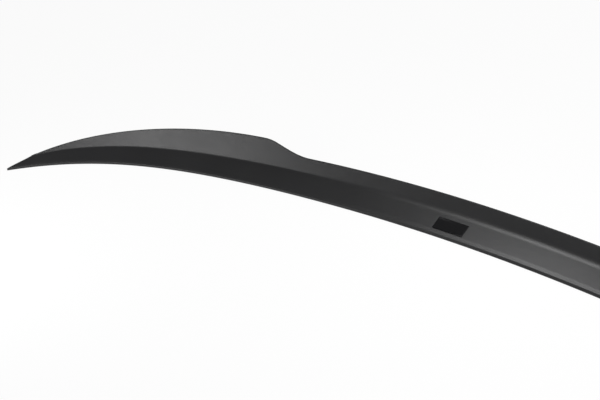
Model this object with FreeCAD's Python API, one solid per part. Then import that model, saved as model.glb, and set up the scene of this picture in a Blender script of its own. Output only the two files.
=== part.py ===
import FreeCAD, Part
import math
import os

# Spoiler extension for a boot lid: one hollow moulding with a flat bonding land, and a blank badge plate.
# X runs along the span, -Y is the leading edge that lies toward the rear window, Z is up from the boot lid.

# Leading edge in plan
half_span = 575.0
arc_depth = 110.0
corner_wrap = 60.0
wrap_power = 8

# Ramp that climbs from the leading edge
edge_height = 3.4
edge_round = 1.5
ramp_angle = 20.0
ramp_length = 31.0
ramp_taper = 11.0
tip_taper = 6.0
tip_power = 16

# Lip that kicks up behind the ramp, low in the middle and raised to an ear at each side
lip_angle = 55.0
lip_length = 17.4
lip_dip = 2.2
ear_length = 29.3
step_inner = 274.0
step_outer = 335.0
ear_end = 555.0
tip_lip = 0.8
crease_round = 7.0
lip_width = 1.6

# Rear face, whose foot follows the edge of the boot lid behind the crease, then the wall and bonding land
rear_depth = 17.5
rear_power = 6
tip_rear = 1.0
wall = 3.0
front_land = 12.0
cavity_half = 490.0
end_slant = 18.0

# Badge plate on the ramp
badge_x = -101.0
badge_rise = 14.2
badge_width = 33.0
badge_height = 15.0
badge_lean = 2.0
badge_thick = 1.2
badge_seat = 1.0

# Cutting margins and the number of sections along the span
trim_depth = 5.0
tip_overrun = 6.0
section_count = 59


def tilt(angle):
    return math.cos(math.radians(angle)), math.sin(math.radians(angle))


def ramp_at(x):
    share = abs(x) / half_span
    return ramp_length - ramp_taper * share ** 2 - tip_taper * share ** tip_power


def lip_at(x):
    inner = min(1.0, abs(x) / step_inner)
    low = lip_length - lip_dip * inner ** 3
    outer = max(0.0, (abs(x) - step_outer) / (ear_end - step_outer))
    ear = ear_length * (1 - outer ** 2)
    step = min(1.0, max(0.0, (abs(x) - step_inner) / (step_outer - step_inner)))
    rise = step * step * (3 - 2 * step)
    return max(tip_lip, low + (ear - low) * rise)


def section_points(x):
    # Distance behind the leading edge and height of the crease, the crown of the lip and the rear foot
    ramp_run, ramp_up = tilt(ramp_angle)
    lip_run, lip_up = tilt(lip_angle)
    crease = (ramp_at(x) * ramp_run, edge_height + ramp_at(x) * ramp_up)
    crown = (crease[0] + lip_at(x) * lip_run, crease[1] + lip_at(x) * lip_up)
    share = min(1.0, abs(x) / half_span)
    foot = (crease[0] + lip_width + tip_rear + rear_depth * (1 - share ** rear_power), 0.0)
    lean = (foot[0] - crown[0] - lip_width) / crown[1]
    return crease, crown, foot, lean


# The origin is under the middle of the part, front to back
section_depth = section_points(0.0)[2][0]
origin_shift = (arc_depth + corner_wrap - section_depth) / 2


def edge_point(x):
    share = abs(x) / half_span
    return FreeCAD.Vector(x, origin_shift - arc_depth * share ** 2 - corner_wrap * share ** wrap_power, 0)


def edge_normal(x):
    share = abs(x) / half_span
    fall = (2 * arc_depth * share + wrap_power * corner_wrap * share ** (wrap_power - 1)) / half_span
    return FreeCAD.Vector(math.copysign(fall, x), 1, 0).normalize()


def place(x, behind, height):
    return edge_point(x) + edge_normal(x) * behind + FreeCAD.Vector(0, 0, height)


def rounded_wire(x, corners):
    # Closed wire across the span at x; each corner is (distance behind, height, radius)
    points = [place(x, behind, height) for behind, height, radius in corners]
    edges = []
    ends = []
    for index, corner in enumerate(points):
        radius = corners[index][2]
        if radius == 0:
            ends.append((corner, corner, None))
            continue
        back = (points[index - 1] - corner).normalize()
        ahead = (points[(index + 1) % len(points)] - corner).normalize()
        half = back.getAngle(ahead) / 2
        reach = radius / math.tan(half)
        middle = corner + (back + ahead).normalize() * (radius / math.sin(half) - radius)
        ends.append((corner + back * reach, corner + ahead * reach, middle))
    for index, (start, finish, middle) in enumerate(ends):
        if middle:
            edges.append(Part.Arc(start, middle, finish).toShape())
        edges.append(Part.makeLine(finish, ends[(index + 1) % len(ends)][0]))
    return Part.Wire(edges)


def outer_wire(x):
    crease, crown, foot, lean = section_points(x)
    soft = min(1.0, lip_at(x) / lip_length)
    return rounded_wire(x, [
        (0, -trim_depth, 0),
        (0, edge_height, edge_round),
        (crease[0], crease[1], crease_round * soft),
        (crown[0], crown[1], 0),
        (crown[0] + lip_width, crown[1], 0),
        (foot[0] + trim_depth * lean, -trim_depth, 0),
    ])


def inner_wire(x):
    # The outer section set in by the wall, open at the bottom behind the front land
    crease, crown, foot, lean = section_points(x)
    ramp_run, ramp_up = tilt(ramp_angle)
    lip_run, lip_up = tilt(lip_angle)
    slope = ramp_up / ramp_run
    roof = edge_height - wall / ramp_run
    kick = lip_up / lip_run
    lip_base = crease[1] - kick * crease[0] - wall / lip_run
    crease_in = (roof - lip_base) / (kick - slope)
    foot_in = foot[0] - wall * math.hypot(1, lean)
    crown_in = (foot_in - lean * lip_base) / (1 + lean * kick)
    return rounded_wire(x, [
        (front_land, -trim_depth, 0),
        (front_land, roof + slope * front_land, 0),
        (crease_in, roof + slope * crease_in, 0),
        (crown_in, lip_base + kick * crown_in, 0),
        (foot_in + trim_depth * lean, -trim_depth, 0),
    ])


def sweep(wire_at, reach):
    stations = [reach * (2 * index / (section_count - 1) - 1) for index in range(section_count)]
    return Part.makeLoft([wire_at(x) for x in stations], True, False)


def base_block():
    width = 2 * (half_span + trim_depth * 20)
    return Part.makeBox(width, width, trim_depth * 2, FreeCAD.Vector(-width / 2, -width / 2, -trim_depth * 2))


def end_block(side):
    # Upright wedge of space outboard of the straight end cut, which starts at the tip of the leading edge
    tip = edge_point(side * half_span)
    inward, rearward = math.sin(math.radians(end_slant)), math.cos(math.radians(end_slant))
    length = 2 * (ramp_length + ear_length)
    along = FreeCAD.Vector(-side * inward, rearward, 0)
    across = FreeCAD.Vector(side * rearward, inward, 0)
    start = tip - along * length
    outline = [start, start + along * (2 * length), start + along * (2 * length) + across * length]
    outline += [start + across * length, start]
    block = Part.Face(Part.makePolygon(outline)).extrude(FreeCAD.Vector(0, 0, length))
    return block


def spoiler_shell():
    body = sweep(outer_wire, half_span + tip_overrun)
    body = body.cut(sweep(inner_wire, cavity_half))
    return body.cut([base_block(), end_block(-1), end_block(1)])


def badge_plate(shell):
    normal = edge_normal(badge_x)
    ramp_run, ramp_up = tilt(ramp_angle)
    along = FreeCAD.Vector(normal.y, -normal.x, 0)
    upslope = normal * ramp_run + FreeCAD.Vector(0, 0, ramp_up)
    outward = along.cross(upslope)
    middle = place(badge_x, badge_rise * ramp_run, edge_height + badge_rise * ramp_up) - outward * badge_seat
    corners = []
    for side, level in [(-1, -1), (1, -1), (1, 1), (-1, 1), (-1, -1)]:
        reach = side * badge_width / 2 + level * badge_lean / 2
        corners.append(middle + along * reach + upslope * (level * badge_height / 2))
    plate = Part.Face(Part.makePolygon(corners)).extrude(outward * (badge_seat + badge_thick))
    return plate.cut(shell)


def export(name, shape):
    shape.exportStep(os.path.join("parts", name + ".step"))
    box = shape.optimalBoundingBox()
    print(name, "solids", len(shape.Solids), "valid", shape.isValid(), "volume", round(shape.Volume))
    print("  box", [round(v, 2) for v in (box.XMin, box.XMax, box.YMin, box.YMax, box.ZMin, box.ZMax)])


os.makedirs("parts", exist_ok=True)
shell = spoiler_shell()
export("spoiler_shell", shell)
export("badge_plate", badge_plate(shell))
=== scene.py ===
import math
import bpy
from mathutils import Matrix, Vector


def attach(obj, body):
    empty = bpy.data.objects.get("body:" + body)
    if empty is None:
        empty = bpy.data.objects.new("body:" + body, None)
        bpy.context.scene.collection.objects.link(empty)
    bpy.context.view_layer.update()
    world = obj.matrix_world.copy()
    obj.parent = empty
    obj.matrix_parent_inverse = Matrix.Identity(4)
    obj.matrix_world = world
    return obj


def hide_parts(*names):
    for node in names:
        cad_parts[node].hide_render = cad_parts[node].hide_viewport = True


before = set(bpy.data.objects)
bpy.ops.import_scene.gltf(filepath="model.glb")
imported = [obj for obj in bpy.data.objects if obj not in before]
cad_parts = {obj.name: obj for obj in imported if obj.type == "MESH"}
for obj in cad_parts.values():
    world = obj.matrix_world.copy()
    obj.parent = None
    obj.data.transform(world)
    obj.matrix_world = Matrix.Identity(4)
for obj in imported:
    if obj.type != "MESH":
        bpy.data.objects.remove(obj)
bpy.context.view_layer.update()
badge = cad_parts["badge_plate"]
print("frame loaded:", sorted(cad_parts))


def newMaterial(name):
    mat = bpy.data.materials.new(name)
    mat.use_nodes = True
    nodes = mat.node_tree.nodes
    nodes.clear()
    out = nodes.new("ShaderNodeOutputMaterial")
    return mat, nodes, mat.node_tree.links, out


def newNoise(nodes, scale, detail):
    noise = nodes.new("ShaderNodeTexNoise")
    noise.inputs["Scale"].default_value = scale
    noise.inputs["Detail"].default_value = detail
    return noise


def newTone(nodes, places, colours):
    tone = nodes.new("ShaderNodeValToRGB")
    for stop, place, colour in zip(tone.color_ramp.elements, places, colours):
        stop.position = place
        stop.color = colour
    return tone


def newRange(nodes, seen, wanted):
    spread = nodes.new("ShaderNodeMapRange")
    for end, value in zip(("From Min", "From Max", "To Min", "To Max"), seen + wanted):
        spread.inputs[end].default_value = value
    return spread


# satin moulded plastic
satin = {
    "base": (0.0105, 0.0105, 0.0112, 1.0),
    "baseLight": (0.0138, 0.0138, 0.0146, 1.0),
    "patchScale": 9.0,                    # soft cloudiness, patches of about a hand
    "patchDetail": 3.0,
    "tonePlaces": (0.35, 0.65),           # noise levels where the two base colours stand
    "roughSeen": (0.3, 0.7),              # noise levels of the two roughnesses
    "rough": (0.315, 0.37),
    "flowStretch": (7.0, 190.0, 190.0),   # faint flow lines along the span
    "flowDetail": 4.0,
    "flowRough": 0.06,
    "grainScale": 3400.0,                 # moulded grain, under half a millimetre
    "grainDetail": 2.0,
    "grainBump": 0.32,
    "grainDepth": 0.0002,
}


def satinPlastic():
    mat, nodes, links, out = newMaterial("satinPlastic")
    shader = nodes.new("ShaderNodeBsdfPrincipled")
    coords = nodes.new("ShaderNodeTexCoord")
    cloud = newNoise(nodes, satin["patchScale"], satin["patchDetail"])
    tone = newTone(nodes, satin["tonePlaces"], (satin["base"], satin["baseLight"]))
    rough = newRange(nodes, satin["roughSeen"], satin["rough"])
    stretch = nodes.new("ShaderNodeMapping")
    stretch.inputs["Scale"].default_value = satin["flowStretch"]
    flow = newNoise(nodes, 1.0, satin["flowDetail"])
    flowRough = nodes.new("ShaderNodeMath")
    flowRough.operation = "MULTIPLY_ADD"
    flowRough.inputs[1].default_value = satin["flowRough"]
    grain = newNoise(nodes, satin["grainScale"], satin["grainDetail"])
    bump = nodes.new("ShaderNodeBump")
    bump.inputs["Strength"].default_value = satin["grainBump"]
    bump.inputs["Distance"].default_value = satin["grainDepth"]
    for node in (cloud, grain, stretch):
        links.new(coords.outputs["Object"], node.inputs["Vector"])
    links.new(stretch.outputs["Vector"], flow.inputs["Vector"])
    links.new(cloud.outputs["Fac"], tone.inputs["Fac"])
    links.new(cloud.outputs["Fac"], rough.inputs["Value"])
    links.new(flow.outputs["Fac"], flowRough.inputs[0])
    links.new(rough.outputs["Result"], flowRough.inputs[2])
    links.new(grain.outputs["Fac"], bump.inputs["Height"])
    links.new(tone.outputs["Color"], shader.inputs["Base Color"])
    links.new(flowRough.outputs[0], shader.inputs["Roughness"])
    links.new(bump.outputs["Normal"], shader.inputs["Normal"])
    links.new(shader.outputs["BSDF"], out.inputs["Surface"])
    return mat


# gloss plastic of the blank badge
gloss = {
    "base": (0.004, 0.004, 0.0045, 1.0),
    "baseLight": (0.007, 0.007, 0.0078, 1.0),
    "fleckScale": 1400.0,
    "fleckDetail": 2.0,
    "tonePlaces": (0.0, 1.0),
    "specular": 0.3,
    "smearScale": 60.0,                   # handling smears of about a centimetre
    "smearDetail": 4.0,
    "roughSeen": (0.35, 0.65),
    "rough": (0.07, 0.13),
}


def glossPlastic():
    mat, nodes, links, out = newMaterial("glossPlastic")
    shader = nodes.new("ShaderNodeBsdfPrincipled")
    shader.inputs["Specular IOR Level"].default_value = gloss["specular"]
    coords = nodes.new("ShaderNodeTexCoord")
    fleck = newNoise(nodes, gloss["fleckScale"], gloss["fleckDetail"])
    tone = newTone(nodes, gloss["tonePlaces"], (gloss["base"], gloss["baseLight"]))
    smear = newNoise(nodes, gloss["smearScale"], gloss["smearDetail"])
    rough = newRange(nodes, gloss["roughSeen"], gloss["rough"])
    for node in (fleck, smear):
        links.new(coords.outputs["Object"], node.inputs["Vector"])
    links.new(fleck.outputs["Fac"], tone.inputs["Fac"])
    links.new(smear.outputs["Fac"], rough.inputs["Value"])
    links.new(tone.outputs["Color"], shader.inputs["Base Color"])
    links.new(rough.outputs["Result"], shader.inputs["Roughness"])
    links.new(shader.outputs["BSDF"], out.inputs["Surface"])
    return mat


# shell: one sheet laid round the sections of the moulding, lengths in metres, angles in degrees
shellMade = {
    "halfSpan": 0.575, "arcDepth": 0.110, "cornerWrap": 0.060, "wrapPower": 8,
    "edgeHeight": 0.0034, "edgeCut": 0.0033, "edgeLean": 0.0016, "earCut": 0.0029,
    "rollAngle": 30.0, "rollRound": 0.012,        # the edge rolls over above its cut
    "rampAngle": 20.0, "rampLength": 0.031, "rampTaper": 0.011, "tipTaper": 0.014, "tipPower": 18,
    "lipAngle": 55.0, "lipLength": 0.0174, "lipWidth": 0.0016, "tipLip": 0.0008,
    "lipDip": 0.0012, "dipPower": 3,
    "stepInner": 0.273, "stepOuter": 0.32,        # the lip steps up to the ear between these
    "shoulder": 0.75, "shoulderRound": 0.2, "stepMost": 1.5,
    "earLength": 0.0293, "earStart": 0.335, "earEnd": 0.555,
    "creaseRound": 0.0125, "earRound": 0.0045,    # in the middle, and below the ears
    "wideTo": 0.17, "crispFrom": 0.26,            # where the one goes over into the other
    "rearDepth": 0.0175, "rearPower": 6, "tipRear": 0.001,
    "wall": 0.003, "frontLand": 0.012, "cavityHalf": 0.490,
    "endSlant": 18.0, "tipOverrun": 0.006,
    "broken": 0.0004,                             # radius of the edges that are sharp in the tool
    "stations": 240,                              # sections along the span
    "arcSteps": 6,                                # steps round a corner
    "runShares": (0.03, 0.26, 0.5, 0.74, 0.97),   # points along a straight run
    "weld": 0.000002,
    "smooth": 32.0,
}


def slope(angle):
    return math.cos(math.radians(angle)), math.sin(math.radians(angle))


def limited(value, most=1.0):
    return min(most, max(0.0, value))


def rampAt(share):
    return (shellMade["rampLength"] - shellMade["rampTaper"] * share ** 2
            - shellMade["tipTaper"] * share ** shellMade["tipPower"])


def lipAt(x):
    inner = limited(x / shellMade["stepInner"])
    low = shellMade["lipLength"] - shellMade["lipDip"] * inner ** shellMade["dipPower"]
    outer = max(0.0, (x - shellMade["earStart"]) / (shellMade["earEnd"] - shellMade["earStart"]))
    ear = shellMade["earLength"] * (1 - outer ** 2)
    step = (x - shellMade["stepInner"]) / (shellMade["stepOuter"] - shellMade["stepInner"])
    step = limited(step, shellMade["stepMost"])
    rise = step ** 2 * (1 + shellMade["shoulder"] * (1 - step))
    # rounded top of the step
    near = max(0.0, 1 - abs(rise - 1) / shellMade["shoulderRound"])
    rise = min(1.0, rise) - near ** 2 * shellMade["shoulderRound"] / 4
    return max(shellMade["tipLip"], low + (ear - low) * rise)


def sectionAt(x):
    # crease, crown and rear foot as distance behind the leading edge and height
    share = min(1.0, abs(x) / shellMade["halfSpan"])
    rampRun, rampUp = slope(shellMade["rampAngle"])
    lipRun, lipUp = slope(shellMade["lipAngle"])
    ramp, lip = rampAt(share), lipAt(abs(x))
    crease = (ramp * rampRun, shellMade["edgeHeight"] + ramp * rampUp)
    crown = (crease[0] + lip * lipRun, crease[1] + lip * lipUp)
    reach = shellMade["rearDepth"] * (1 - share ** shellMade["rearPower"])
    foot = (crease[0] + shellMade["lipWidth"] + shellMade["tipRear"] + reach, 0.0)
    return crease, crown, foot


def cavityAt(x):
    # the section's inner corners, one wall inside it
    crease, crown, foot = sectionAt(x)
    rampRun, rampUp = slope(shellMade["rampAngle"])
    lipRun, lipUp = slope(shellMade["lipAngle"])
    wall, land = shellMade["wall"], shellMade["frontLand"]
    rise, kick = rampUp / rampRun, lipUp / lipRun
    lean = (foot[0] - crown[0] - shellMade["lipWidth"]) / crown[1]
    roof = shellMade["edgeHeight"] - wall / rampRun
    lipBase = crease[1] - kick * crease[0] - wall / lipRun
    creaseIn = (roof - lipBase) / (kick - rise)
    footIn = foot[0] - wall * math.hypot(1, lean)
    crownIn = (footIn - lean * lipBase) / (1 + lean * kick)
    return [(footIn, 0.0), (crownIn, lipBase + kick * crownIn), (creaseIn, roof + rise * creaseIn),
            (land, roof + rise * land), (land, 0.0)]


def middleAt(x):
    # 1 in the middle, where the crease is wide and the edge leans back, and 0 below the ears
    share = limited((abs(x) - shellMade["wideTo"]) / (shellMade["crispFrom"] - shellMade["wideTo"]))
    return 1 - share ** 2 * (3 - 2 * share)


def creaseRoundAt(x):
    # runs out with the lip
    crisp = shellMade["earRound"]
    full = crisp + (shellMade["creaseRound"] - crisp) * middleAt(x)
    return full * min(1.0, lipAt(abs(x)) / shellMade["lipLength"])


def roundedLine(corners):
    # corners are (point, radius); every corner gives the same number of points, and so does every run
    turns = []
    for index, (point, radius) in enumerate(corners):
        here = Vector(point)
        back = (Vector(corners[index - 1][0]) - here).normalized()
        ahead = (Vector(corners[(index + 1) % len(corners)][0]) - here).normalized()
        half = back.angle(ahead) / 2
        reach = radius / math.tan(half)
        centre = here + (back + ahead).normalized() * (radius / math.sin(half))
        first, last = here + back * reach - centre, here + ahead * reach - centre
        sweep = math.pi - 2 * half
        arc = []
        for step in range(shellMade["arcSteps"] + 1):
            share = step / shellMade["arcSteps"]
            spoke = first * math.sin((1 - share) * sweep) + last * math.sin(share * sweep)
            arc.append(centre + spoke / math.sin(sweep))
        turns.append(arc)
    points = []
    for index, arc in enumerate(turns):
        points += arc
        far = turns[(index + 1) % len(turns)][0]
        points += [arc[-1].lerp(far, share) for share in shellMade["runShares"]]
    return points


def outlineAt(x, hollow):
    crease, crown, foot = sectionAt(x)
    edge, middle = shellMade["broken"], middleAt(x)
    lean = shellMade["edgeLean"] * middle
    cut = shellMade["earCut"] + (shellMade["edgeCut"] - shellMade["earCut"]) * middle
    rise, steep = (math.tan(math.radians(shellMade[key])) for key in ("rampAngle", "rollAngle"))
    reach = (shellMade["edgeHeight"] - cut + lean * steep) / (steep - rise)
    outer = [((0.0, 0.0), edge), ((lean, cut), edge),
             ((reach, shellMade["edgeHeight"] + reach * rise), shellMade["rollRound"]),
             (crease, creaseRoundAt(x)), (crown, edge),
             ((crown[0] + shellMade["lipWidth"], crown[1]), edge), (foot, edge)]
    if hollow:
        return roundedLine(outer + [(corner, edge) for corner in cavityAt(x)])
    # closed section: as many points as a cavity takes lie spread along the bottom
    line = roundedLine(outer)
    run = len(shellMade["runShares"])
    kept, bottomEnd = line[:-run], line[0]
    spare = len(cavityAt(x)) * (shellMade["arcSteps"] + 1 + run) + run
    return kept + [kept[-1].lerp(bottomEnd, (step + 1) / (spare + 1)) for step in range(spare)]


def placeAt(x, behind, height):
    share = abs(x) / shellMade["halfSpan"]
    power = shellMade["wrapPower"]
    fall = 2 * shellMade["arcDepth"] * share + power * shellMade["cornerWrap"] * share ** (power - 1)
    away = Vector((math.copysign(fall / shellMade["halfSpan"], x), 1.0, 0.0)).normalized()
    middle = (shellMade["arcDepth"] + shellMade["cornerWrap"] - sectionAt(0.0)[2][0]) / 2
    edgeY = middle - shellMade["arcDepth"] * share ** 2 - shellMade["cornerWrap"] * share ** power
    return Vector((x, edgeY, height)) + away * behind


def sectionRows():
    # stations from end to end, with two at each end wall of the cavity
    reach = shellMade["halfSpan"] + shellMade["tipOverrun"]
    rows = []
    for index in range(shellMade["stations"] + 1):
        x = reach * (2 * index / shellMade["stations"] - 1)
        rows.append((x, abs(x) < shellMade["cavityHalf"]))
    for side in (-1, 1):
        rows += [(side * shellMade["cavityHalf"], True), (side * shellMade["cavityHalf"], False)]
    rows.sort(key=lambda row: (row[0], row[1] if row[0] < 0 else not row[1]))
    return rows


rows = sectionRows()
around = len(outlineAt(0.0, True))
bpy.ops.object.select_all(action="DESELECT")
bpy.ops.mesh.primitive_grid_add(x_subdivisions=len(rows) - 1, y_subdivisions=around, size=2.0)
shellBody = bpy.context.active_object
shellBody.name = "shellBody"
outlines = [[placeAt(x, *point) for point in outlineAt(x, hollow)] for x, hollow in rows]
for vertex in shellBody.data.vertices:
    row = round((vertex.co.x + 1) / 2 * (len(rows) - 1))
    turnStep = round((vertex.co.y + 1) / 2 * around)
    vertex.co = outlines[row][turnStep % around]
bpy.ops.object.mode_set(mode="EDIT")
bpy.ops.mesh.select_all(action="SELECT")
bpy.ops.mesh.remove_doubles(threshold=shellMade["weld"])
for side in (-1, 1):
    # straight end cut that starts at the tip of the leading edge
    rearward, inward = slope(shellMade["endSlant"])
    tip = placeAt(side * shellMade["halfSpan"], 0.0, 0.0)
    bpy.ops.mesh.select_all(action="SELECT")
    bpy.ops.mesh.bisect(plane_co=tip, plane_no=(side * rearward, inward, 0.0),
                        use_fill=True, clear_outer=True)
bpy.ops.mesh.select_all(action="SELECT")
bpy.ops.mesh.normals_make_consistent(inside=False)
bpy.ops.object.mode_set(mode="OBJECT")
bpy.ops.object.shade_smooth_by_angle(angle=math.radians(shellMade["smooth"]))
shellBody.data.materials.append(satinPlastic())
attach(shellBody, "root")
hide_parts("spoiler_shell")
print("shell built:", len(shellBody.data.polygons), "faces")


# badge: blank plate with a raised rim round a sunk field
badgeMade = {
    "weld": 0.00001, "flat": 1.0,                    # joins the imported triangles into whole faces
    "rim": 0.0011, "sink": 0.0002,
    "edge": 0.00018, "segments": 3, "sharp": 30.0,   # edges sharper than this are rounded
}

badgeBlank = bpy.data.objects.new("badgeBlank", badge.data.copy())
badgeBlank.data.materials.clear()
bpy.context.scene.collection.objects.link(badgeBlank)
bpy.ops.object.select_all(action="DESELECT")
badgeBlank.select_set(True)
bpy.context.view_layer.objects.active = badgeBlank
bpy.ops.object.mode_set(mode="EDIT")
bpy.ops.mesh.select_mode(type="FACE")
bpy.ops.mesh.select_all(action="SELECT")
bpy.ops.mesh.remove_doubles(threshold=badgeMade["weld"])
bpy.ops.mesh.dissolve_limited(angle_limit=math.radians(badgeMade["flat"]))
bpy.ops.mesh.select_all(action="DESELECT")
bpy.ops.object.mode_set(mode="OBJECT")
plateTop = max(badgeBlank.data.polygons, key=lambda face: face.area * (face.normal.z > 0))
outward = plateTop.normal.copy()
plateTop.select = True
bpy.ops.object.mode_set(mode="EDIT")
bpy.ops.mesh.inset(thickness=badgeMade["rim"], depth=0)
bpy.ops.transform.translate(value=-outward * badgeMade["sink"])
bpy.ops.object.mode_set(mode="OBJECT")
rounding = badgeBlank.modifiers.new("brokenEdges", "BEVEL")
rounding.width = badgeMade["edge"]
rounding.segments = badgeMade["segments"]
rounding.limit_method = "ANGLE"
rounding.angle_limit = math.radians(badgeMade["sharp"])
rounding.use_clamp_overlap = False
bpy.ops.object.modifier_apply(modifier=rounding.name)
bpy.ops.object.shade_smooth_by_angle(angle=math.radians(badgeMade["sharp"]))
badgeBlank.data.materials.append(glossPlastic())
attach(badgeBlank, "root")
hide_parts("badge_plate")
print("badge built:", len(badgeBlank.data.polygons), "faces")


# floor and far wall, one white studio round the part
studio = {
    "radius": 15.0, "sides": 96, "wall": 3.4,
    "level": -0.0002,                     # just below the part's land
    "white": (0.86, 0.86, 0.86, 1.0),
    "share": 0.92,                        # the rest keeps the part's shadow
}


def studioWhite():
    mat, nodes, links, out = newMaterial("studioWhite")
    paper = nodes.new("ShaderNodeBsdfDiffuse")
    paper.inputs["Color"].default_value = studio["white"]
    glow = nodes.new("ShaderNodeEmission")
    glow.inputs["Strength"].default_value = 1.0
    path = nodes.new("ShaderNodeLightPath")
    seen = path.outputs["Is Camera Ray"]
    for ray in ("Is Glossy Ray", "Is Transmission Ray"):
        either = nodes.new("ShaderNodeMath")
        either.operation = "MAXIMUM"
        links.new(seen, either.inputs[0])
        links.new(path.outputs[ray], either.inputs[1])
        seen = either.outputs[0]
    part = nodes.new("ShaderNodeMath")
    part.operation = "MULTIPLY"
    part.inputs[1].default_value = studio["share"]
    mix = nodes.new("ShaderNodeMixShader")
    links.new(seen, part.inputs[0])
    links.new(part.outputs[0], mix.inputs[0])
    links.new(paper.outputs["BSDF"], mix.inputs[1])
    links.new(glow.outputs["Emission"], mix.inputs[2])
    links.new(mix.outputs["Shader"], out.inputs["Surface"])
    return mat


bpy.ops.object.select_all(action="DESELECT")
bpy.ops.mesh.primitive_circle_add(vertices=studio["sides"], radius=studio["radius"], fill_type="NGON",
                                  location=(0, 0, studio["level"]))
floor = bpy.context.active_object
floor.name = "studioFloor"
bpy.ops.object.mode_set(mode="EDIT")
bpy.ops.mesh.select_mode(type="EDGE")
bpy.ops.mesh.select_all(action="SELECT")
bpy.ops.mesh.region_to_loop()
bpy.ops.mesh.extrude_region_move(TRANSFORM_OT_translate={"value": (0, 0, studio["wall"])})
bpy.ops.object.mode_set(mode="OBJECT")
floor.data.materials.append(studioWhite())
print("studio built")


# lamps: a soft panel by the camera for the lip, one overhead for the ramp, and a far fill behind
lamps = {
    "lipPanel": {"at": (-0.485, -0.31, 0.22), "aim": (-0.46, 0.0, 0.02),
                 "size": (0.14, 0.14), "power": 0.625},
    "rampPanel": {"at": (-0.055, 0.027, 0.40), "aim": (0.04, 0.07, 0.01),
                  "size": (0.20, 0.20), "power": 0.96},
    "fillPanel": {"at": (1.60, 1.30, 1.70), "aim": (-0.10, 0.05, 0.0),
                  "size": (1.8, 1.4), "power": 45.0},
}
roomGrey = (0.24, 0.24, 0.24, 1.0)


def addLamp(name, made):
    data = bpy.data.lights.new(name, "AREA")
    data.shape = "RECTANGLE"
    data.size, data.size_y = made["size"]
    data.energy = made["power"]
    lamp = bpy.data.objects.new(name, data)
    bpy.context.scene.collection.objects.link(lamp)
    lamp.location = made["at"]
    lamp.visible_camera = False
    lamp.rotation_euler = (Vector(made["aim"]) - Vector(made["at"])).to_track_quat("-Z", "Y").to_euler()


for lampName, made in lamps.items():
    addLamp(lampName, made)

world = bpy.data.worlds.new("roomLight")
world.use_nodes = True
world.node_tree.nodes["Background"].inputs["Color"].default_value = roomGrey
world.node_tree.nodes["Background"].inputs["Strength"].default_value = 1.0
bpy.context.scene.world = world
print("lamps set")


# camera at the photograph's viewpoint
view = {
    "target": (-0.2844, 0.0607, -0.0258), "turn": 34.11, "rise": 36.12, "distance": 1.0316,
    "lens": 54.0, "sensor": 36.0,
}

turn, rise = math.radians(view["turn"]), math.radians(view["rise"])
back = Vector((math.sin(turn) * math.cos(rise), -math.cos(turn) * math.cos(rise), math.sin(rise)))
camData = bpy.data.cameras.new("photoCamera")
camData.lens = view["lens"]
camData.sensor_width = view["sensor"]
camera = bpy.data.objects.new("photoCamera", camData)
bpy.context.scene.collection.objects.link(camera)
camera.location = Vector(view["target"]) + back * view["distance"]
camera.rotation_euler = back.to_track_quat("Z", "Y").to_euler()
bpy.context.scene.camera = camera
bpy.context.scene.view_settings.view_transform = "Standard"
print("camera set")
